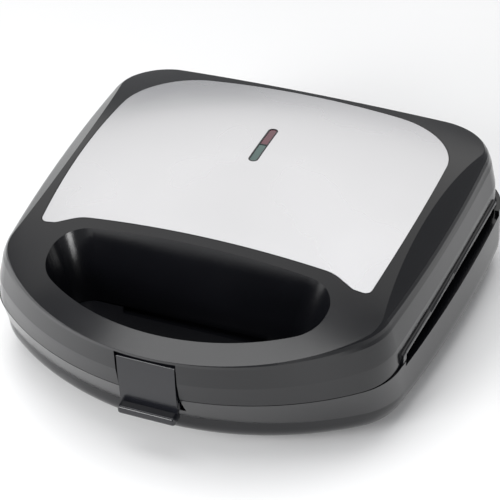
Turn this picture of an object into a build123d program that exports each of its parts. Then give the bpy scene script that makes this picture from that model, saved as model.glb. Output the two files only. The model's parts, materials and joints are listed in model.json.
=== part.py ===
from build123d import *
import math
import os

os.makedirs("parts", exist_ok=True)

# ------------------------------------------------------------ driving sizes (mm)
body_width = 241.0          # across the base at its widest
body_depth = 256.0          # front edge of the lid to the back of the hinge barrels
body_height = 88.0          # floor to the top of the domed lid
parting_height = 40.0       # where lid and base meet
crown_rise = 19.0           # crown of the lid above the shoulder of its walls
seam = 0.4                  # gap between lid and base all round
wall = 2.5                  # thickness of the plastic shells
foot_height = 5.0           # how far the feet lift the housing
dome_radius = 540.0         # curve of the lid's top
dome_offset = 22.0          # crown of the dome behind the middle

# plan outlines of the housing, each: side inset at the back, side inset at the front corner,
# bow of the sides, front inset, how deep the front bows, back inset
front_corner_radius = 36.0
back_corner_radius = 32.0
shoulder_line = (9.5, 18.5, 4.0, 0.0, 55.0, 0.0)
lid_foot_line = (2.5, 13.5, 0.5, 5.0, 48.0, 0.0)
base_rim_line = (1.0, 13.5, 4.0, 5.0, 48.0, 0.0)
low_line = (0.5, 13.5, 5.5, 17.0, 43.0, 2.0)
wall_bulge = 0.9            # the lid's walls bow out halfway up
low_height = 20.0           # where the base starts to curve under
base_curve_radius = 13.0
base_front_depth = 21.0     # room behind the base's front wall for the latch's hook
band_width = 20.0           # sloping band between shoulder and dome, in plan
band_rise = 16.0
shoulder_radius = 9.0       # rounding of the shoulder
shoulder_steps = 4

# hinge at the back
barrel_radius = 5.5
hinge_pin_radius = 2.0
hinge_spread = 70.0         # middle of each hinge from the centre line
lid_barrel_length = 14.0
base_barrel_length = 8.0
barrel_stand_off = 2.0      # hinge axis behind the back walls
running_clearance = 0.05    # pin in a bore that turns on it
side_clearance = 0.4        # between faces that slide past each other

# steel panel on the lid
panel_side_gap = 26.4       # base's widest line to the panel's widest line
panel_front_gap = 80.0      # lid's front edge to the panel's straight front edge
panel_back_gap = 19.5       # back wall to the panel's back edge
panel_bow = 3.5             # bulge of the panel's sides
panel_horn = 6.0            # how far the panel's front corners reach round the recess
panel_horn_width = 8.5
panel_back_radius = 38.0
panel_thickness = 0.6
panel_seat_gap = 0.5        # black line round the panel

# handle recess through the lid
recess_width = 160.0
recess_front_gap = 9.8      # rim of the recess behind the lid's front edge
recess_length = 65.2
recess_sweep = 0.49 * recess_length
recess_back_radius = 0.29 * recess_length
recess_front_radius = 0.4 * recess_length
recess_back_draft = 0.16 * recess_length    # how far the walls come in at the bottom
recess_side_draft = 16.0
recess_front_draft = 8.0
notch_width = 78.0          # step in the flange under the recess
notch_depth = 5.0
flange_gap = 0.5            # flange edge in front of the recess's back wall

# side slots between lid and base
slot_half_height = 3.0
slot_front_gap = 73.0       # lid's front edge to the front of each slot
slot_back_gap = 32.0        # back wall to the end of each slot
bead_height = 4.0
bead_reach = 2.0            # bead stands this far out of the lid's walls
bead_rounding = 1.5

# grill plates
plate_gap = 9.0             # between the facing ridges, closed
plate_thickness = 4.0
plate_side_clearance = 20.0  # lid's lower edge to the plate's edge
plate_front_clearance = 5.0
plate_back_clearance = 12.0
plate_corner_radius = 10.0
plate_seat_gap = 0.5
ridge_height = 2.4
ridge_width = 4.0
ridge_pitch = 9.0
rim_width = 2.5
rim_rise = 1.0              # rim above the ridges
gutter = 6.0                # flat channel between ridges and rim

# what lies behind the plates
heater_radius = 3.2
heater_inset = 30.0         # heater's centre line inside the plate's edge
heater_bend_radius = 16.0
heater_tail = 14.0          # bare ends past the plate's last bend
saddle_width = 11.0
boss_radius = 4.5
boss_foot_radius = 6.5
boss_inset = 17.0           # plate screws inside the plate's edges
screw_radius = 1.5
screw_head_radius = 3.2
screw_head_height = 1.6
screw_grip = 12.0
reflector_thickness = 0.5
reflector_gap = 3.0         # heater to reflector
reflector_inset = 12.0
reflector_lip = 3.0

# indicator lights
lens_slot_length = 34.0
lens_slot_width = 3.9
lens_front_gap = 147.5      # lid's front edge to the front of the slot
bezel_width = 0.8
lens_depth = 7.0
lens_sink = 0.3             # lenses below the bezel's face
lamp_radius = 2.0
lamp_length = 7.0

# thermostat and thermal fuse
thermostat_radius = 9.0
thermostat_height = 8.0
fuse_radius = 2.5
fuse_length = 14.0

# latch
latch_width = 30.2
latch_gap = 0.9             # each side, in the opening
latch_top_gap = 7.0         # shoulder to the latch's top edge
latch_drop = 13.5           # latch's lower edge below the parting line
latch_thickness = 2.5
latch_opening_gap = 3.0     # latch's top edge to the opening's
latch_axis_drop = 4.5       # axis below the latch's top edge
latch_axis_depth = 7.5      # axis behind the lid's front edge
latch_barrel_radius = 2.7
latch_pin_radius = 1.25
latch_pin_grip = 5.0        # length of pin held in the lid each side
hook_width = 18.0
hook_reach = 11.5
hook_height = 3.0
latch_bar_height = 4.9
latch_waist_rise = 6.0      # where the plate bows out most, above the parting line
latch_flange = 1.4
spring_wire = 0.35
spring_turns = 4.0

# feet, cord inlet and terminals
foot_radius = 9.0
foot_stud_radius = 3.0
foot_side_gap = 46.0        # base's widest line to the foot's middle
foot_front_gap = 62.0
foot_back_gap = 38.0
inlet_offset = 60.0         # cord inlet left of the centre line, from the front
inlet_height = 21.0
inlet_bore_radius = 3.6
inlet_body_radius = 6.0
inlet_flange_radius = 8.5
inlet_flange_depth = 3.0
terminal_length = 30.0
terminal_depth = 12.0
terminal_height = 11.0

# ------------------------------------------------------------ worked-out places
half_width = body_width / 2
front_y = -body_depth / 2
shoulder_height = body_height - crown_rise
latch_top = shoulder_height - latch_top_gap
latch_bottom = parting_height - latch_drop
latch_opening_top = latch_top + latch_opening_gap
latch_opening_bottom = latch_bottom + seam
latch_axis_height = latch_top - latch_axis_drop
latch_waist = parting_height + latch_waist_rise
hinge_y = body_depth / 2 - barrel_radius
back_y = hinge_y - barrel_stand_off
dome_centre = (0, dome_offset, body_height - dome_radius)
lid_bottom = parting_height + seam
slot_bottom = parting_height - slot_half_height
slot_top = parting_height + slot_half_height
slot_front_y = front_y + slot_front_gap
slot_back_y = back_y - slot_back_gap
deck_bottom = slot_bottom - wall
lid_deck_top = slot_top + wall

recess_front_y = front_y + recess_front_gap
recess_back_y = recess_front_y + recess_length
recess_floor_back_y = recess_back_y - recess_back_draft

plate_half_width = half_width - lid_foot_line[0] - plate_side_clearance
plate_front_y = recess_floor_back_y + wall + plate_front_clearance
plate_back_y = back_y - wall - plate_back_clearance
plate_length = plate_back_y - plate_front_y
plate_mid_y = (plate_front_y + plate_back_y) / 2
plate_face = plate_gap / 2                       # ridge tops from the parting line
plate_floor = plate_face + ridge_height
plate_back_face = plate_floor + plate_thickness
heater_line = plate_back_face + heater_radius
reflector_line = heater_line + heater_radius + reflector_gap
boss_x = plate_half_width - boss_inset
boss_y = plate_length / 2 - boss_inset

panel_front_y = front_y + panel_front_gap
panel_back_y = back_y - panel_back_gap
panel_half_width = half_width - panel_side_gap
lens_front_y = front_y + lens_front_gap
lens_mid_y = lens_front_y + lens_slot_length / 2

latch_axis_y = front_y + latch_axis_depth
latch_half_width = latch_width / 2
latch_opening = latch_half_width + latch_gap


# ------------------------------------------------------------ shared shapes
def between(low, high, share):
    """Outline values part of the way from one line to another."""
    return tuple(a + (b - a) * share for a, b in zip(low, high))


def lid_line(height):
    share = (height - parting_height) / (shoulder_height - parting_height)
    return between(lid_foot_line, shoulder_line, share)


def inset_end(end_x, sweep, inset):
    """Half width and depth of an arc's end after the arc and its end move inwards.

    The arc's middle lies on the centre line, and its end is end_x out and sweep behind it.
    """
    radius = (end_x ** 2 + sweep ** 2) / (2 * sweep)
    new_x = end_x - inset
    return new_x, radius - math.sqrt((radius - inset) ** 2 - new_x ** 2)


def housing_plan(height, line, shrink=0.0):
    """Outline of the housing at a height, moved inwards by shrink."""
    side_inset, corner_inset, bow, front_inset, sweep, back_inset = line
    wide_x = half_width - side_inset
    narrow_x = half_width - corner_inset
    front = front_y + front_inset
    back = back_y - back_inset - shrink
    side = wide_x - shrink
    corner_x, corner_depth = inset_end(narrow_x, sweep, shrink)
    corner_y = front + corner_depth
    bulge = ((wide_x + narrow_x) / 2 + bow - shrink, (front + sweep + back) / 2)
    with BuildSketch(Plane.XY.offset(height)) as plan:
        with BuildLine():
            Line((-side, back), (side, back))
            ThreePointArc((side, back), bulge, (corner_x, corner_y))
            ThreePointArc((corner_x, corner_y), (0, front + shrink), (-corner_x, corner_y))
            ThreePointArc((-corner_x, corner_y), (-bulge[0], bulge[1]), (-side, back))
        make_face()
        fillet(plan.vertices().group_by(Axis.Y)[-1], max(back_corner_radius - shrink, 4.0))
        corners = [v for v in plan.vertices() if abs(v.Y - corner_y) < 0.5]
        fillet(corners, max(front_corner_radius - shrink, 4.0))
    return plan.sketch.face()


def shoulder_stations(shrink):
    """Outlines up the lid's wall, round the shoulder and up the sloping band."""
    turn = math.atan2(band_width, band_rise)
    start = shoulder_height - shoulder_radius * math.tan(turn / 2)
    middle = (lid_bottom + start) / 2
    plans = [housing_plan(lid_bottom, lid_line(lid_bottom), shrink),
             housing_plan(middle, lid_line(middle), shrink - wall_bulge),
             housing_plan(start, lid_line(start), shrink)]
    for step in range(1, shoulder_steps + 1):
        angle = turn * step / shoulder_steps
        rise = shoulder_radius * math.sin(angle)
        inset = shoulder_radius * (1 - math.cos(angle))
        plans.append(housing_plan(start + rise, shoulder_line, shrink + inset))
    plans.append(housing_plan(shoulder_height + 1.5 * band_rise, shoulder_line,
                              shrink + 1.5 * band_width))
    return plans


def lid_solid(shrink):
    """Solid inside the lid's outer skin, moved inwards by shrink."""
    plans = shoulder_stations(shrink)
    with BuildPart() as solid:
        for lower, upper in zip(plans, plans[1:]):
            loft([lower, upper], ruled=True)
        with Locations(dome_centre):
            Sphere(dome_radius - shrink, mode=Mode.INTERSECT)
    return solid.part


def base_solid(shrink):
    """Solid inside the base's outer skin, moved inwards by shrink."""
    with BuildPart() as solid:
        low = housing_plan(low_height, low_line, shrink)
        loft([low, housing_plan(parting_height, base_rim_line, shrink)], ruled=True)
        extrude(low, amount=-(low_height - foot_height - shrink))
        fillet(solid.faces().sort_by(Axis.Z)[0].edges(), base_curve_radius - shrink)
    return solid.part


def recess_plan(height, draft, grow=0.0):
    """Outline of the handle recess at a height; draft is the share of its full draft."""
    side = recess_width / 2 - draft * recess_side_draft
    back = recess_back_y - draft * recess_back_draft + grow
    front = recess_front_y + draft * recess_front_draft
    sweep = recess_sweep - draft * recess_front_draft
    corner_x, corner_depth = inset_end(side, sweep, -grow)
    corner_y = front + corner_depth
    with BuildSketch(Plane.XY.offset(height)) as plan:
        with BuildLine():
            Polyline((-corner_x, corner_y), (-corner_x, back), (corner_x, back),
                     (corner_x, corner_y))
            ThreePointArc((corner_x, corner_y), (0, front - grow), (-corner_x, corner_y))
        make_face()
        fillet(plan.vertices().group_by(Axis.Y)[-1],
               recess_back_radius * (1 - draft / 3) + grow)
        corners = [v for v in plan.vertices() if abs(v.Y - corner_y) < 0.5]
        fillet(corners, recess_front_radius * (1 - draft / 3) + grow)
    return plan.sketch.face()


def recess_solid(grow):
    """The space of the handle recess, widest at the top, its walls hollowed."""
    middle = (lid_bottom + body_height) / 2
    with BuildPart() as solid:
        loft([recess_plan(lid_bottom, 1.0, grow), recess_plan(middle, 0.6, grow),
              recess_plan(body_height, 0.0, grow)])
    return solid.part


def edge_strip(height, thickness):
    """A rounded strip standing out of the lid's walls all round."""
    with BuildPart() as strip:
        extrude(housing_plan(height, lid_line(height + thickness / 2), -bead_reach),
                amount=thickness)
        level = strip.faces().group_by(Axis.Z)
        fillet(level[0].edges() + level[-1].edges(), bead_rounding)
    return strip.part


def plate_plan(height, shrink):
    """Rounded rectangle of a grill plate."""
    corner = plate_corner_radius - min(shrink, plate_corner_radius - 1)
    with BuildSketch(Plane.XY.offset(height)) as plan:
        with Locations((0, plate_mid_y)):
            RectangleRounded(2 * (plate_half_width - shrink), plate_length - 2 * shrink, corner)
    return plan.sketch.face()


def slab(bottom, top, x_half, y_front, y_back):
    """Plain block between two heights, centred in X."""
    middle = (0, (y_front + y_back) / 2, (bottom + top) / 2)
    return Location(middle) * Box(2 * x_half, y_back - y_front, top - bottom, mode=Mode.PRIVATE)


def cross_rod(radius, x_start, length, y, z):
    """Round rod along X."""
    middle = (x_start + length / 2, y, z)
    return Location(middle) * Cylinder(radius, length, rotation=(0, 90, 0), mode=Mode.PRIVATE)


def on_both_sides(shape):
    """A shape and its mirror image across the middle."""
    return [shape, mirror(shape, Plane.YZ)]


def dome(radius):
    """Ball whose top is the lid's dome, or a surface under it."""
    return Location(dome_centre) * Sphere(radius, mode=Mode.PRIVATE)


def save(name, shape):
    """Label a finished piece and write it."""
    shape.label = name
    export_step(shape, f"parts/{name}.step")


lid_outer = lid_solid(0.0)
lid_inner = lid_solid(wall)
base_outer = base_solid(0.0)
base_inner = base_solid(wall)
far = 2 * body_width
upright = (Align.CENTER, Align.CENTER, Align.MIN)


# ------------------------------------------------------------ base housing
def hinge_block(x_start, length, bottom, top):
    """Barrel with the lug that ties it to the wall in front of it."""
    depth = barrel_radius + barrel_stand_off + wall
    lug = Location((x_start + length / 2, hinge_y - depth / 2, (bottom + top) / 2))
    return cross_rod(barrel_radius, x_start, length, hinge_y, parting_height) + \
        lug * Box(length, depth, top - bottom)


lid_barrel_start = hinge_spread - lid_barrel_length / 2
inner_barrel_start = lid_barrel_start - side_clearance - base_barrel_length
outer_barrel_start = lid_barrel_start + lid_barrel_length + side_clearance
hinge_length = 2 * base_barrel_length + lid_barrel_length + 2 * side_clearance
bar_sweep_radius = barrel_radius + side_clearance
base_barrels = []
for start in (inner_barrel_start, outer_barrel_start):
    base_barrels += on_both_sides(hinge_block(start, base_barrel_length,
                                              parting_height - barrel_radius, parting_height))
lid_barrels = on_both_sides(hinge_block(lid_barrel_start, lid_barrel_length,
                                        lid_bottom, lid_bottom + barrel_radius))
hinge_bores = on_both_sides(cross_rod(hinge_pin_radius, inner_barrel_start, hinge_length,
                                      hinge_y, parting_height))
boss_places = [(x, plate_mid_y + y) for x in (-boss_x, boss_x) for y in (-boss_y, boss_y)]
foot_places = [(x, y) for x in (-half_width + foot_side_gap, half_width - foot_side_gap)
               for y in (front_y + foot_front_gap, back_y - foot_back_gap)]

flange_back_y = recess_floor_back_y - flange_gap
deck = base_outer & slab(deck_bottom, slot_bottom, far, -far, far)
flange = base_outer & slab(slot_bottom - 0.5, parting_height, far, -far, flange_back_y)
notch = slab(slot_bottom, parting_height + 1, notch_width / 2,
             flange_back_y - notch_depth, flange_back_y + 5)
notch = fillet(notch.edges().filter_by(Axis.Z).group_by(Axis.Y)[0], 4.0)
base_slot = slab(slot_bottom, parting_height + 1, far, slot_front_y, slot_back_y) - \
    slab(0, body_height, plate_half_width, -far, far)
latch_hole = slab(latch_opening_bottom, deck_bottom, latch_opening, front_y - 5,
                  front_y + base_front_depth)
catch_edge_y = front_y + hook_reach - 0.5
latch_gate = slab(deck_bottom - 1, parting_height + 1, latch_opening, front_y - 5, catch_edge_y)
lid_barrel_sweeps = on_both_sides(cross_rod(bar_sweep_radius, lid_barrel_start - side_clearance,
                                            lid_barrel_length + 2 * side_clearance,
                                            hinge_y, parting_height))
inlet_plane = Plane((-inlet_offset, back_y + 0.5, inlet_height), x_dir=(1, 0, 0), z_dir=(0, -1, 0))

with BuildPart() as base_housing:
    add(base_outer)
    add(base_inner, mode=Mode.SUBTRACT)
    add(deck)
    add(flange)
    add(notch, mode=Mode.SUBTRACT)
    extrude(plate_plan(deck_bottom - 1, -plate_seat_gap), amount=wall + 2, mode=Mode.SUBTRACT)
    add(base_slot, mode=Mode.SUBTRACT)
    # the latch goes in through the front wall; the deck's edge above the hook is the catch
    add(latch_hole, mode=Mode.SUBTRACT)
    add(latch_gate, mode=Mode.SUBTRACT)
    # hinge: clear the lid's barrels, then add the base's own
    add(lid_barrel_sweeps, mode=Mode.SUBTRACT)
    add(base_barrels)
    add(hinge_bores, mode=Mode.SUBTRACT)
    # bosses that carry the plate and the reflector
    with BuildSketch(Plane.XY.offset(foot_height + 1)):
        with Locations(*boss_places):
            Circle(boss_radius)
    extrude(amount=parting_height - plate_back_face - foot_height - 1)
    with BuildSketch(Plane.XY.offset(foot_height + 1)):
        with Locations(*boss_places):
            Circle(boss_foot_radius)
    extrude(amount=parting_height - reflector_line - foot_height - 1)
    with BuildSketch(Plane.XY.offset(parting_height - plate_floor - screw_grip)):
        with Locations(*boss_places):
            Circle(screw_radius)
    extrude(amount=screw_grip, mode=Mode.SUBTRACT)
    # holes for the feet's studs
    with BuildSketch(Plane.XY.offset(foot_height)):
        with Locations(*foot_places):
            Circle(foot_stud_radius)
    extrude(amount=wall, mode=Mode.SUBTRACT)
    # pad and hole for the cord inlet
    with BuildSketch(inlet_plane):
        Circle(inlet_flange_radius + 1.5)
    extrude(amount=2 * wall)
    with BuildSketch(inlet_plane):
        Circle(inlet_body_radius)
    extrude(amount=3 * wall, mode=Mode.SUBTRACT)
    # air slots in the bottom
    with BuildSketch(Plane.XY.offset(foot_height)):
        with Locations((0, plate_mid_y)):
            with GridLocations(12, 0, 7, 1):
                SlotOverall(46, 4, rotation=90)
    extrude(amount=wall, mode=Mode.SUBTRACT)
save("base_housing", base_housing.part)


# ------------------------------------------------------------ grill plates and heaters
def heater_path():
    """Centre line of the heating tube behind the lower plate."""
    side = plate_half_width - heater_inset
    front = plate_front_y + heater_inset
    back = plate_back_y - heater_inset
    with BuildLine() as path:
        FilletPolyline((-side, back + heater_tail), (-side, front), (side, front),
                       (side, back + heater_tail), radius=heater_bend_radius)
    return path.wire()


def heater_tube(radius):
    path = heater_path()
    with BuildPart() as tube:
        with BuildSketch(Plane(path @ 0, z_dir=path % 0)):
            Circle(radius)
        sweep(path=path)
    return Location((0, 0, -heater_line)) * tube.part


def saddle():
    """Cast rib along the heater, from the plate's back to the tube's centre line."""
    with BuildSketch(Plane.XY.offset(-heater_line)) as rib:
        with BuildLine():
            add(heater_path())
        trace(line_width=saddle_width)
    return extrude(rib.sketch, amount=heater_radius)


heater_rib = saddle()
heater_groove = heater_tube(heater_radius + 0.03)
heater = heater_tube(heater_radius)


def grill_plate():
    """Lower grill plate with its ridges up; heights are from the parting line."""
    top = -plate_face
    floor = -plate_floor
    back = -plate_back_face
    ridge_zone = 2 * (plate_half_width - rim_width - gutter)
    ridge_count = int(ridge_zone / ridge_pitch)
    ridge_length = plate_length - 2 * (rim_width + gutter)
    with BuildPart() as plate:
        extrude(plate_plan(back, 0.0), amount=plate_thickness)
        extrude(plate_plan(floor, 0.0), amount=ridge_height + rim_rise)
        extrude(plate_plan(floor, rim_width), amount=ridge_height + rim_rise, mode=Mode.SUBTRACT)
        with BuildSketch(Plane.XY.offset(floor)):
            with Locations((0, plate_mid_y)):
                with GridLocations(ridge_pitch, 0, ridge_count, 1):
                    SlotOverall(ridge_length, ridge_width, rotation=90)
        extrude(amount=ridge_height, taper=12)
        with BuildSketch(Plane.XY.offset(floor)):
            with Locations(*boss_places):
                Circle(screw_head_radius + 1)
        extrude(amount=ridge_height + rim_rise, mode=Mode.SUBTRACT)
        with BuildSketch(Plane.XY.offset(back)):
            with Locations(*boss_places):
                Circle(screw_radius)
        extrude(amount=plate_thickness, mode=Mode.SUBTRACT)
        # rib that holds the heater, cut off square where its tails come out
        add(heater_rib)
        add(heater_groove, mode=Mode.SUBTRACT)
    return plate.part


def reflector():
    """Sheet tray behind the lower heater, holes over the bosses; from the parting line."""
    base_level = -reflector_line
    with BuildPart() as tray:
        extrude(plate_plan(base_level, reflector_inset), amount=reflector_lip)
        extrude(plate_plan(base_level + reflector_thickness,
                           reflector_inset + reflector_thickness),
                amount=reflector_lip, mode=Mode.SUBTRACT)
        with BuildSketch(Plane.XY.offset(base_level)):
            with Locations(*boss_places):
                Circle(boss_radius + 0.3)
        extrude(amount=reflector_lip, mode=Mode.SUBTRACT)
    return tray.part


def plate_screw_set():
    """Four plate screws, heads on the plate's floor between the ridges."""
    with BuildPart() as screws:
        with BuildSketch(Plane.XY.offset(-plate_floor)):
            with Locations(*boss_places):
                Circle(screw_head_radius)
        extrude(amount=screw_head_height)
        fillet(screws.faces().sort_by(Axis.Z)[-4:].edges(), 0.5)
        with BuildSketch(Plane.XY.offset(-plate_floor - screw_grip)):
            with Locations(*boss_places):
                Circle(screw_radius)
        extrude(amount=screw_grip)
        with BuildSketch(Plane.XY.offset(-plate_floor + screw_head_height)):
            with Locations(*boss_places):
                Rectangle(screw_head_radius * 1.5, 0.8)
                Rectangle(0.8, screw_head_radius * 1.5)
        extrude(amount=-0.9, mode=Mode.SUBTRACT)
    return screws.part


def down_side(shape):
    """Place a shape made round the parting line in the base."""
    return Location((0, 0, parting_height)) * shape


def up_side(shape):
    """Mirror it into the lid."""
    return Location((0, 0, parting_height)) * mirror(shape, Plane.XY)


for name, shape in (("plate", grill_plate()), ("heater", heater), ("reflector", reflector()),
                    ("plate_screws", plate_screw_set())):
    for side, placed in (("lower", down_side(shape)), ("upper", up_side(shape))):
        save(f"{side}_{name}", placed)


# ------------------------------------------------------------ lid housing
def panel_plan():
    """Outline of the steel panel, with horns that reach forward round the recess."""
    side = panel_half_width
    back_x = side - panel_bow / 2
    outer_x = side - 1.5 * panel_bow
    inner_x = outer_x - panel_horn_width
    root_x = inner_x - 2 * panel_horn
    horn_y = panel_front_y - panel_horn
    bulge_y = (panel_back_y + horn_y) / 2
    with BuildSketch() as plan:
        with BuildLine():
            Line((-back_x, panel_back_y), (back_x, panel_back_y))
            ThreePointArc((back_x, panel_back_y), (side, bulge_y), (outer_x, horn_y))
            Polyline((outer_x, horn_y), (inner_x, horn_y), (root_x, panel_front_y),
                     (-root_x, panel_front_y), (-inner_x, horn_y), (-outer_x, horn_y))
            ThreePointArc((-outer_x, horn_y), (-side, bulge_y), (-back_x, panel_back_y))
        make_face()
        fillet(plan.vertices().group_by(Axis.Y)[-1], panel_back_radius)
        fillet([v for v in plan.vertices() if abs(v.Y - panel_front_y) < 0.1], 3 * panel_horn)
        fillet([v for v in plan.vertices() if abs(v.Y - horn_y) < 0.1], 0.7 * panel_horn)
    return plan.sketch.face()


def slot_plan(length, width, mid_y):
    with BuildSketch() as plan:
        with Locations((0, mid_y)):
            SlotOverall(length, width, rotation=90)
    return plan.sketch.face()


panel_face = panel_plan()
panel_column = extrude(panel_face, amount=far)
seat_column = extrude(offset(panel_face, amount=panel_seat_gap), amount=far)
bezel_length = lens_slot_length + 2 * bezel_width
bezel_wide = lens_slot_width + 2 * bezel_width
bezel_column = extrude(slot_plan(bezel_length, bezel_wide, lens_mid_y), amount=far)
lens_column = extrude(slot_plan(lens_slot_length, lens_slot_width, lens_mid_y), amount=far)
dome_skin = dome(dome_radius)
panel_under = dome(dome_radius - panel_thickness)

lens_middle_gap = bezel_width / 2


def lens(front, back):
    """One lens: its half of the slot, its top a shade under the bezel's."""
    body = slab(0, body_height, lens_slot_width, front, back)
    top = dome(dome_radius - lens_sink)
    return (lens_column & body & top) - dome(dome_radius - lens_depth)


# ------------------------------------------------------------ lid housing
recess_space = recess_solid(0.0)
recess_tube = recess_solid(wall)
lid_bead = (edge_strip(slot_top, bead_height) & slab(slot_top, body_height, far,
                                                     slot_front_y, slot_back_y)) + \
    (edge_strip(lid_bottom, slot_top + bead_height - lid_bottom) &
     slab(lid_bottom, body_height, far, slot_front_y - bead_height, slot_front_y))
lid_deck = (lid_outer & slab(slot_top, lid_deck_top, far, -far, far))
plate_window = extrude(plate_plan(slot_top - 1, -plate_seat_gap), amount=wall + 2)
lid_slot = slab(0, slot_top, far, slot_front_y, slot_back_y) - \
    slab(0, body_height, plate_half_width, -far, far)
base_barrel_sweeps = []
for start in (inner_barrel_start, outer_barrel_start):
    base_barrel_sweeps += on_both_sides(cross_rod(bar_sweep_radius, start - side_clearance,
                                                  base_barrel_length + 2 * side_clearance,
                                                  hinge_y, parting_height))
lid_hinge_bores = on_both_sides(cross_rod(hinge_pin_radius + running_clearance,
                                          lid_barrel_start, lid_barrel_length,
                                          hinge_y, parting_height))
latch_axis_rod = latch_opening + latch_pin_grip
latch_pin = cross_rod(latch_pin_radius, -latch_axis_rod, 2 * latch_axis_rod,
                      latch_axis_y, latch_axis_height)
latch_window = slab(0, latch_opening_top, latch_opening, front_y - 5,
                    latch_axis_y + latch_barrel_radius + 0.5)
latch_cheeks = []
for side in (-1, 1):
    middle = side * (latch_opening + latch_pin_grip / 2)
    cheek = Location((middle, latch_axis_y, latch_axis_height)) * \
        Box(latch_pin_grip, 4 * latch_pin_radius + 4, 4 * latch_pin_radius + 4, mode=Mode.PRIVATE)
    latch_cheeks.append(cheek & lid_outer)
lamp_ys = (lens_mid_y - lens_slot_length / 4, lens_mid_y + lens_slot_length / 4)
holder_top = body_height - lens_depth - lamp_length - 1
post_ys = (lens_front_y - bezel_wide, lens_front_y + lens_slot_length + bezel_wide)
boss_columns = Part() + [Location((x, y, 0)) * Cylinder(boss_radius, body_height, align=upright)
                         for x, y in boss_places]
boss_columns = boss_columns & lid_outer & slab(parting_height + plate_back_face, body_height,
                                               far, -far, far)
boss_feet = Part() + [Location((x, y, 0)) * Cylinder(boss_foot_radius, body_height, align=upright)
                      for x, y in boss_places]
boss_feet = boss_feet & lid_outer & slab(parting_height + reflector_line, body_height,
                                         far, -far, far)

lamp_posts = [Location((0, y, 0)) * Cylinder(boss_radius, body_height, align=upright)
              & dome(dome_radius - wall + 0.5) & slab(holder_top, body_height, far, -far, far)
              for y in post_ys]

with BuildPart() as lid_housing:
    add(lid_outer)
    add(lid_bead)
    add(lid_inner, mode=Mode.SUBTRACT)
    add(lid_deck)
    add(plate_window, mode=Mode.SUBTRACT)
    add(boss_columns)
    add(boss_feet)
    with BuildSketch(Plane.XY.offset(parting_height + plate_back_face)):
        with Locations(*boss_places):
            Circle(screw_radius)
    extrude(amount=screw_grip - plate_thickness, mode=Mode.SUBTRACT)
    # handle recess, a walled shaft right through the front of the lid
    add(recess_tube & lid_outer)
    add(recess_space, mode=Mode.SUBTRACT)
    # seat for the steel panel and the slot for the lenses
    add((seat_column & lid_outer) - panel_under, mode=Mode.SUBTRACT)
    add(bezel_column, mode=Mode.SUBTRACT)
    add(lamp_posts)
    add(lid_slot, mode=Mode.SUBTRACT)
    # latch opening, and cheeks that hold its pin
    add(latch_cheeks)
    add(latch_window, mode=Mode.SUBTRACT)
    add(latch_pin, mode=Mode.SUBTRACT)
    # hinge: clear the base's barrels, then add the lid's own
    add(base_barrel_sweeps, mode=Mode.SUBTRACT)
    add(lid_barrels)
    add(lid_hinge_bores, mode=Mode.SUBTRACT)
save("lid_housing", lid_housing.part)


# ------------------------------------------------------------ panel, lenses and lamps
steel_panel = (panel_column & dome_skin) - panel_under - bezel_column
save("steel_panel", steel_panel)

with BuildPart() as lens_bezel:
    add((bezel_column & dome_skin) - dome(dome_radius - lens_depth + 1))
    add(lens_column, mode=Mode.SUBTRACT)
    bar = slab(0, body_height, lens_slot_width / 2, lens_mid_y - lens_middle_gap,
               lens_mid_y + lens_middle_gap)
    add((bar & dome_skin) - dome(dome_radius - lens_depth + 1))
save("lens_bezel", lens_bezel.part)
save("green_lens", lens(-far, lens_mid_y - lens_middle_gap))
save("red_lens", lens(lens_mid_y + lens_middle_gap, far))

with BuildPart() as lamp_holder:
    with BuildSketch(Plane.XY.offset(holder_top - wall)):
        with Locations((0, lens_mid_y)):
            RectangleRounded(3 * boss_radius, post_ys[1] - post_ys[0] + 2 * boss_radius, 2)
    extrude(amount=wall)
    with BuildSketch(Plane.XY.offset(holder_top)):
        with Locations(*[(0, y) for y in lamp_ys]):
            Circle(lamp_radius + 1)
    extrude(amount=2)
    with BuildSketch(Plane.XY.offset(holder_top)):
        with Locations(*[(0, y) for y in lamp_ys]):
            Circle(lamp_radius)
    extrude(amount=2, mode=Mode.SUBTRACT)
save("lamp_holder", lamp_holder.part)

for name, y in zip(("ready_lamp", "power_lamp"), lamp_ys):
    with BuildPart(Plane.XY.offset(holder_top)) as lamp:
        with Locations((0, y)):
            Cylinder(lamp_radius, lamp_length, align=upright)
        fillet(lamp.faces().sort_by(Axis.Z)[-1].edges(), 0.8 * lamp_radius)
    save(name, lamp.part)

# ------------------------------------------------------------ thermostat and thermal fuse
with BuildPart(Plane((0, plate_mid_y, parting_height + plate_back_face))) as thermostat:
    Cylinder(thermostat_radius, 1.5, align=upright)
    Cylinder(thermostat_radius - 2, thermostat_height,
             align=upright)
    with Locations((0, 0, thermostat_height / 2)):
        Box(2.4 * thermostat_radius, 4, 0.8)
save("thermostat", thermostat.part)

with BuildPart(Plane((0, plate_mid_y, parting_height - plate_back_face))) as lower_fuse:
    with Locations((0, 0, -fuse_radius - 0.5)):
        Cylinder(fuse_radius, fuse_length, rotation=(0, 90, 0))
        Cylinder(fuse_radius / 3, 2 * fuse_length, rotation=(0, 90, 0))
    Box(fuse_length / 2, 4 * fuse_radius, 1, align=(Align.CENTER, Align.CENTER, Align.MAX))
save("lower_fuse", lower_fuse.part)

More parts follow.
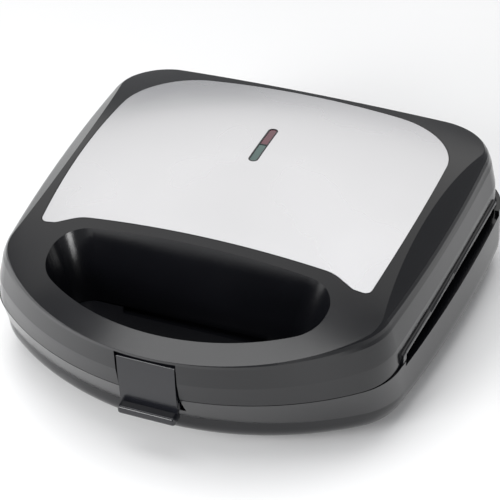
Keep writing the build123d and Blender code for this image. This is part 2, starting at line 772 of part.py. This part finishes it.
# ------------------------------------------------------------ latch
front_lean = lid_foot_line[3] / (shoulder_height - parting_height)
face_top = front_y + (shoulder_height - latch_top) * front_lean
face_low = front_y + lid_foot_line[3]
grip_top = latch_bottom + latch_bar_height
with BuildPart() as latch_grip:
    with Locations((0, (front_y + 0.5 + face_low + latch_thickness + 1) / 2,
                    (grip_top + latch_bottom) / 2)):
        Box(latch_width + 0.6, face_low + latch_thickness + 0.5 - front_y, latch_bar_height)
    fillet(latch_grip.edges(), 1.8)
with BuildPart() as latch:
    # plate that follows the lid's front, and its two side flanges
    with BuildSketch(Plane.YZ):
        with BuildLine():
            outer = ThreePointArc((face_top + 1.2, latch_top), (face_low - 1.6, latch_waist),
                                  (face_low + 0.6, grip_top - 1.5))
            Polyline(outer @ 1, (face_low + latch_thickness, grip_top - 1.5),
                     (face_low + latch_thickness - 1.6, latch_waist),
                     (face_top + latch_thickness + 1.2, latch_top), outer @ 0)
        make_face()
    extrude(amount=latch_half_width, both=True)
    with BuildSketch(Plane.YZ.offset(latch_half_width - latch_flange)) as side:
        with BuildLine():
            Polyline((face_low - 0.5, latch_waist), (face_low + 0.5, grip_top - 1),
                     (latch_axis_y + 1, grip_top + 1), (latch_axis_y + 1.5, latch_axis_height + 2),
                     (face_top + 2, latch_top - 0.5), close=True)
        make_face()
    extrude(amount=latch_flange)
    mirror(about=Plane.YZ)
    fillet(latch.edges().filter_by(Axis.X).sort_by(Axis.Z)[-1], 0.8)
    add(latch_grip.part)
    # hook that goes under the deck's edge
    with Locations((0, face_low + 1 + hook_reach / 2, deck_bottom - seam - hook_height / 2)):
        Box(hook_width, hook_reach, hook_height)
    # barrel on the pin, with the web that carries it
    with Locations((0, latch_axis_y, latch_axis_height)):
        Cylinder(latch_barrel_radius, hook_width, rotation=(0, 90, 0))
    with Locations((0, latch_axis_y, latch_axis_height)):
        Box(hook_width, latch_axis_y - face_low + 1, 1.6 * latch_barrel_radius,
            align=(Align.CENTER, Align.MAX, Align.CENTER))
    with Locations((0, latch_axis_y, latch_axis_height)):
        Cylinder(latch_pin_radius + running_clearance, latch_width, rotation=(0, 90, 0),
                 mode=Mode.SUBTRACT)
save("latch", latch.part)
save("latch_pin", latch_pin)

# ------------------------------------------------------------ latch spring
with BuildPart() as latch_spring:
    pitch = 2.2 * spring_wire
    coil_start = (hook_width / 2 + 2 * spring_wire, latch_axis_y, latch_axis_height)
    with BuildLine() as wire:
        Helix(pitch, pitch * spring_turns, latch_pin_radius + spring_wire + 0.2,
              center=coil_start, direction=(1, 0, 0))
    with BuildSketch(Plane(wire.line @ 0, z_dir=wire.line % 0)):
        Circle(spring_wire)
    sweep(path=wire.line, is_frenet=True)
save("latch_spring", latch_spring.part)

# ------------------------------------------------------------ hinge pins, feet, inlet, terminals
save("hinge_pins", Compound(on_both_sides(cross_rod(hinge_pin_radius, inner_barrel_start,
                                                    hinge_length, hinge_y, parting_height))))

for number, (x, y) in enumerate(foot_places, start=1):
    with BuildPart() as foot:
        with Locations((x, y, 0)):
            Cone(foot_radius - 1, foot_radius, foot_height,
                 align=upright)
        fillet(foot.faces().sort_by(Axis.Z)[0].edges(), 0.8)
        with Locations((x, y, foot_height)):
            Cylinder(foot_stud_radius, wall, align=upright)
    save(f"foot_{number}", foot.part)

with BuildPart() as cord_inlet:
    with BuildSketch(inlet_plane):
        Circle(inlet_flange_radius)
    extrude(amount=-inlet_flange_depth)
    fillet(cord_inlet.faces().sort_by(Axis.Y)[-1].edges(), 0.8)
    with BuildSketch(inlet_plane):
        Circle(inlet_body_radius)
    extrude(amount=4 * wall)
    with BuildSketch(inlet_plane.offset(-inlet_flange_depth)):
        Circle(inlet_bore_radius)
    extrude(amount=4 * wall + inlet_flange_depth, mode=Mode.SUBTRACT)
save("cord_inlet", cord_inlet.part)

terminal_floor = foot_height + wall
terminal_y = back_y - base_curve_radius - terminal_depth
terminal_x = terminal_length / 2 - inlet_offset
screw_spots = [(terminal_x + x, terminal_y) for x in
               (-terminal_length / 3, 0, terminal_length / 3)]
with BuildPart() as terminal_block:
    with Locations((terminal_x, terminal_y, terminal_floor)):
        Box(terminal_length, terminal_depth, terminal_height,
            align=upright)
    chamfer(terminal_block.faces().sort_by(Axis.Z)[-1].edges(), 1.0)
    with BuildSketch(Plane.XY.offset(terminal_floor + terminal_height)):
        with Locations(*screw_spots):
            Circle(2.2)
    extrude(amount=-terminal_height / 2, mode=Mode.SUBTRACT)
save("terminal_block", terminal_block.part)

with BuildPart() as terminal_screws:
    with BuildSketch(Plane.XY.offset(terminal_floor + terminal_height / 2)):
        with Locations(*screw_spots):
            Circle(2.2)
    extrude(amount=terminal_height / 3)
    with BuildSketch(Plane.XY.offset(terminal_floor + terminal_height * 5 / 6)):
        with Locations(*screw_spots):
            Rectangle(4, 0.7)
    extrude(amount=-0.8, mode=Mode.SUBTRACT)
save("terminal_screws", terminal_screws.part)
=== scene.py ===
import json
import math

import bpy
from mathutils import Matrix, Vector


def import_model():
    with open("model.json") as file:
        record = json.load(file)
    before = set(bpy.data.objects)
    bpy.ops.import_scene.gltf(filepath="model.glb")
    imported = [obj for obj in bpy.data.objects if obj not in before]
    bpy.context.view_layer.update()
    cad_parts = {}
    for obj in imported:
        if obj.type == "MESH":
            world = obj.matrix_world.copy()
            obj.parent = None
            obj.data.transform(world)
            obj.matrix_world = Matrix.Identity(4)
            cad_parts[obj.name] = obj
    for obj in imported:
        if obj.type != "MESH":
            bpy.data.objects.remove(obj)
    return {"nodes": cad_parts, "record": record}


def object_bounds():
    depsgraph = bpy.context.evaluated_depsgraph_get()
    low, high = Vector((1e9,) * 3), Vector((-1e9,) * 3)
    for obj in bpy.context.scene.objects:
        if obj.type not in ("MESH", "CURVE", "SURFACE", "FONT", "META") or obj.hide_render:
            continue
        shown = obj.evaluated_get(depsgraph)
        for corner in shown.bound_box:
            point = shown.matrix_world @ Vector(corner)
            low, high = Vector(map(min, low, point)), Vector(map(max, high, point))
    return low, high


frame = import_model()
cad_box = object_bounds()
low, high = cad_box
size = high - low
centre = (low + high) / 2
scene = bpy.context.scene
MM = 0.001


# ------------------------------------------------------------ materials
def new_material(name):
    """An empty node material with its shader, and helpers to add and join nodes."""
    material = bpy.data.materials.new(name)
    material.use_nodes = True
    tree = material.node_tree
    shader = tree.nodes["Principled BSDF"]
    return material, tree, shader


def noise(tree, scale, stretch=(1, 1, 1), detail=3.0):
    """Noise in the object's own metres; scale is features per metre."""
    place = tree.nodes.new("ShaderNodeTexCoord")
    mapping = tree.nodes.new("ShaderNodeMapping")
    mapping.inputs["Scale"].default_value = stretch
    texture = tree.nodes.new("ShaderNodeTexNoise")
    texture.inputs["Scale"].default_value = scale
    texture.inputs["Detail"].default_value = detail
    tree.links.new(place.outputs["Object"], mapping.inputs["Vector"])
    tree.links.new(mapping.outputs["Vector"], texture.inputs["Vector"])
    return texture.outputs["Fac"]


def vary_colour(tree, shader, fac, dark, light):
    ramp = tree.nodes.new("ShaderNodeValToRGB")
    ramp.color_ramp.elements[0].position = 0.3
    ramp.color_ramp.elements[0].color = (*dark, 1)
    ramp.color_ramp.elements[1].position = 0.7
    ramp.color_ramp.elements[1].color = (*light, 1)
    tree.links.new(fac, ramp.inputs["Fac"])
    tree.links.new(ramp.outputs["Color"], shader.inputs["Base Color"])


def vary_roughness(tree, shader, fac, smooth, rough):
    span = tree.nodes.new("ShaderNodeMapRange")
    span.inputs["From Min"].default_value = 0.3
    span.inputs["From Max"].default_value = 0.7
    span.inputs["To Min"].default_value = smooth
    span.inputs["To Max"].default_value = rough
    tree.links.new(fac, span.inputs["Value"])
    tree.links.new(span.outputs["Result"], shader.inputs["Roughness"])


def add_bump(tree, shader, fac, strength, depth):
    bump = tree.nodes.new("ShaderNodeBump")
    bump.inputs["Strength"].default_value = strength
    bump.inputs["Distance"].default_value = depth
    tree.links.new(fac, bump.inputs["Height"])
    tree.links.new(bump.outputs["Normal"], shader.inputs["Normal"])


def surface(name, dark, light, smooth, rough, grain, strength, depth,
            metallic=0.0, stretch=(1, 1, 1), broad=25.0, coat=0.0):
    """A surface with a slow change of colour and gloss and a fine grain."""
    material, tree, shader = new_material(name)
    shader.inputs["Metallic"].default_value = metallic
    shader.inputs["Coat Weight"].default_value = coat
    slow = noise(tree, broad)
    fine = noise(tree, grain, stretch, 4.0)
    vary_colour(tree, shader, slow, dark, light)
    vary_roughness(tree, shader, slow, smooth, rough)
    add_bump(tree, shader, fine, strength, depth)
    return material, tree, shader


def black_plastic(name, level, smooth, rough):
    material, _, shader = surface(name, (level * 0.8, level * 0.85, level * 1.1),
                                  (level, level * 1.05, level * 1.4),
                                  smooth, rough, 2600.0, 0.05, 0.05 * MM)
    shader.inputs["Specular IOR Level"].default_value = 0.5
    return material


def satin_steel(name, tone, smooth, rough, stretch, strength=0.04):
    material, _, shader = surface(name, tuple(c * 0.96 for c in tone), tone, smooth, rough,
                                  900.0, strength, 0.03 * MM, metallic=1.0, stretch=stretch,
                                  broad=12.0)
    shader.inputs["Anisotropic"].default_value = 0.3
    return material


def lens_plastic(name, deep, face):
    material, _, shader = surface(name, deep, face, 0.08, 0.14, 1200.0, 0.03, 0.05 * MM,
                                  coat=0.4)
    shader.inputs["Transmission Weight"].default_value = 0.15
    shader.inputs["IOR"].default_value = 1.49
    return material


def plain(name, tone, smooth, rough, grain=1500.0, strength=0.15, depth=0.1 * MM, metallic=0.0):
    return surface(name, tuple(c * 0.88 for c in tone), tone, smooth, rough, grain, strength,
                   depth, metallic=metallic)[0]


MATERIALS = {
    "black_shell": black_plastic("black_shell", 0.004, 0.16, 0.21),
    "latch_plastic": black_plastic("latch_plastic", 0.008, 0.16, 0.22),
    "black_trim": black_plastic("black_trim", 0.008, 0.25, 0.32),
    "steel_sheet": satin_steel("steel_sheet", (0.80, 0.80, 0.815), 0.24, 0.30, (0.06, 1, 1)),
    "red_lens": lens_plastic("red_lens", (0.10, 0.020, 0.035), (0.15, 0.032, 0.050)),
    "green_lens": lens_plastic("green_lens", (0.045, 0.095, 0.085), (0.07, 0.14, 0.125)),
    "white_insulator": plain("white_insulator", (0.75, 0.73, 0.68), 0.5, 0.6),
    "grill_coating": plain("grill_coating", (0.028, 0.028, 0.030), 0.38, 0.46, 3000.0, 0.3),
    "heater_sheath": plain("heater_sheath", (0.30, 0.28, 0.26), 0.4, 0.55, metallic=1.0),
    "plated_steel": satin_steel("plated_steel", (0.66, 0.66, 0.64), 0.28, 0.40, (1, 1, 1), 0.08),
    "pin_steel": satin_steel("pin_steel", (0.60, 0.60, 0.61), 0.18, 0.28, (1, 1, 1)),
    "thermostat_metal": plain("thermostat_metal", (0.72, 0.72, 0.73), 0.3, 0.42, metallic=1.0),
    "fuse_ceramic": plain("fuse_ceramic", (0.84, 0.81, 0.73), 0.25, 0.4),
    "brass_screw": plain("brass_screw", (0.78, 0.58, 0.28), 0.2, 0.32, metallic=1.0),
    "black_rubber": plain("black_rubber", (0.022, 0.022, 0.022), 0.6, 0.75, 2200.0, 0.3),
}


def lamp_glass():
    material, _, shader = surface("lamp_glass", (0.88, 0.84, 0.80), (0.95, 0.92, 0.88),
                                  0.02, 0.06, 900.0, 0.02, 0.02 * MM)
    shader.inputs["Transmission Weight"].default_value = 0.9
    return material


MATERIALS["lamp_glass"] = lamp_glass()

slots = {part["node"]: part["material_slot"] for part in frame["record"]["subparts"]}
for node, obj in frame["nodes"].items():
    obj.data.materials.clear()
    obj.data.materials.append(MATERIALS[slots[node]])


# ------------------------------------------------------------ softened edges
SOFT_EDGES = {
    "lid_housing": 0.7 * MM,
    "base_housing": 0.6 * MM,
    "latch": 0.5 * MM,
    "steel_panel": 0.15 * MM,
    "lens_bezel": 0.15 * MM,
}
SHARP_ANGLE = math.radians(35)


def soften(node, width):
    """Round the moulded or formed edges of a CAD node."""
    bevel = frame["nodes"][node].modifiers.new("soft_edges", "BEVEL")
    bevel.width = width
    bevel.segments = 2
    bevel.limit_method = "ANGLE"
    bevel.angle_limit = SHARP_ANGLE
    bevel.harden_normals = True
    bevel.use_clamp_overlap = True


for soft_node, soft_width in SOFT_EDGES.items():
    soften(soft_node, soft_width)


# ------------------------------------------------------------ studio
def area_light(name, place, aim, width, height, power, colour=(1, 1, 1)):
    light = bpy.data.lights.new(name, "AREA")
    light.shape = "RECTANGLE"
    light.size = width
    light.size_y = height
    light.energy = power
    light.color = colour
    obj = bpy.data.objects.new(name, light)
    obj.location = place
    obj.rotation_mode = "QUATERNION"
    obj.rotation_quaternion = (Vector(aim) - Vector(place)).to_track_quat("-Z", "Y")
    scene.collection.objects.link(obj)


FLOOR_DEPTHS = 12           # half the floor's width, in depths of the press


def floor():
    half = FLOOR_DEPTHS * size.y
    mesh = bpy.data.meshes.new("floor")
    corners = [(-half, -half, low.z), (half, -half, low.z), (half, half, low.z), (-half, half, low.z)]
    mesh.from_pydata(corners, [], [(0, 1, 2, 3)])
    obj = bpy.data.objects.new("floor", mesh)
    material = surface("floor", (0.90, 0.90, 0.90), (0.92, 0.92, 0.92), 0.5, 0.6,
                       40.0, 0.02, 0.1 * MM, broad=2.0)[0]
    mesh.materials.append(material)
    scene.collection.objects.link(obj)


def world(level):
    scene.world = bpy.data.worlds.new("studio")
    scene.world.use_nodes = True
    background = scene.world.node_tree.nodes["Background"]
    background.inputs["Color"].default_value = (0.95, 0.965, 1, 1)
    background.inputs["Strength"].default_value = level


floor()
world(0.34)
area_light("overhead", centre + Vector((-0.1, 0.0, 1.4)), centre, 1.1, 1.1, 12.0)
area_light("back_box", centre + Vector((-0.2, 1.3, 1.1)), centre, 2.4, 1.3, 6.6, (1.0, 0.985, 0.96))
area_light("left_box", centre + Vector((-0.55, -1.15, 0.62)), centre, 0.6, 0.5, 10.0)
area_light("left_card", centre + Vector((-0.34, -0.30, 0.08)), centre, 0.16, 0.12, 0.8)
area_light("right_card", centre + Vector((0.34, -0.34, 0.10)), centre, 0.14, 0.10, 0.5)
scene.view_settings.view_transform = "Standard"

# ------------------------------------------------------------ camera
AZIMUTH = math.radians(20.73)
ELEVATION = math.radians(35.97)
DISTANCE = 0.9402
LENS = 137.3
AIM_FROM_TOP = Vector((27.4, -56.2, 0.0)) * MM      # from the crown of the lid, above the middle
aim = Vector((centre.x, centre.y, high.z)) + AIM_FROM_TOP
back = Vector((math.sin(AZIMUTH) * math.cos(ELEVATION),
               -math.cos(AZIMUTH) * math.cos(ELEVATION), math.sin(ELEVATION)))
camera_data = bpy.data.cameras.new("camera")
camera_data.sensor_width = 36.0
camera_data.lens = LENS
camera_data.clip_start = 0.01
camera_data.clip_end = 100.0
camera = bpy.data.objects.new("camera", camera_data)
camera.location = aim + back * DISTANCE
camera.rotation_mode = "QUATERNION"
camera.rotation_quaternion = (-back).to_track_quat("-Z", "Y")
scene.collection.objects.link(camera)
scene.camera = camera
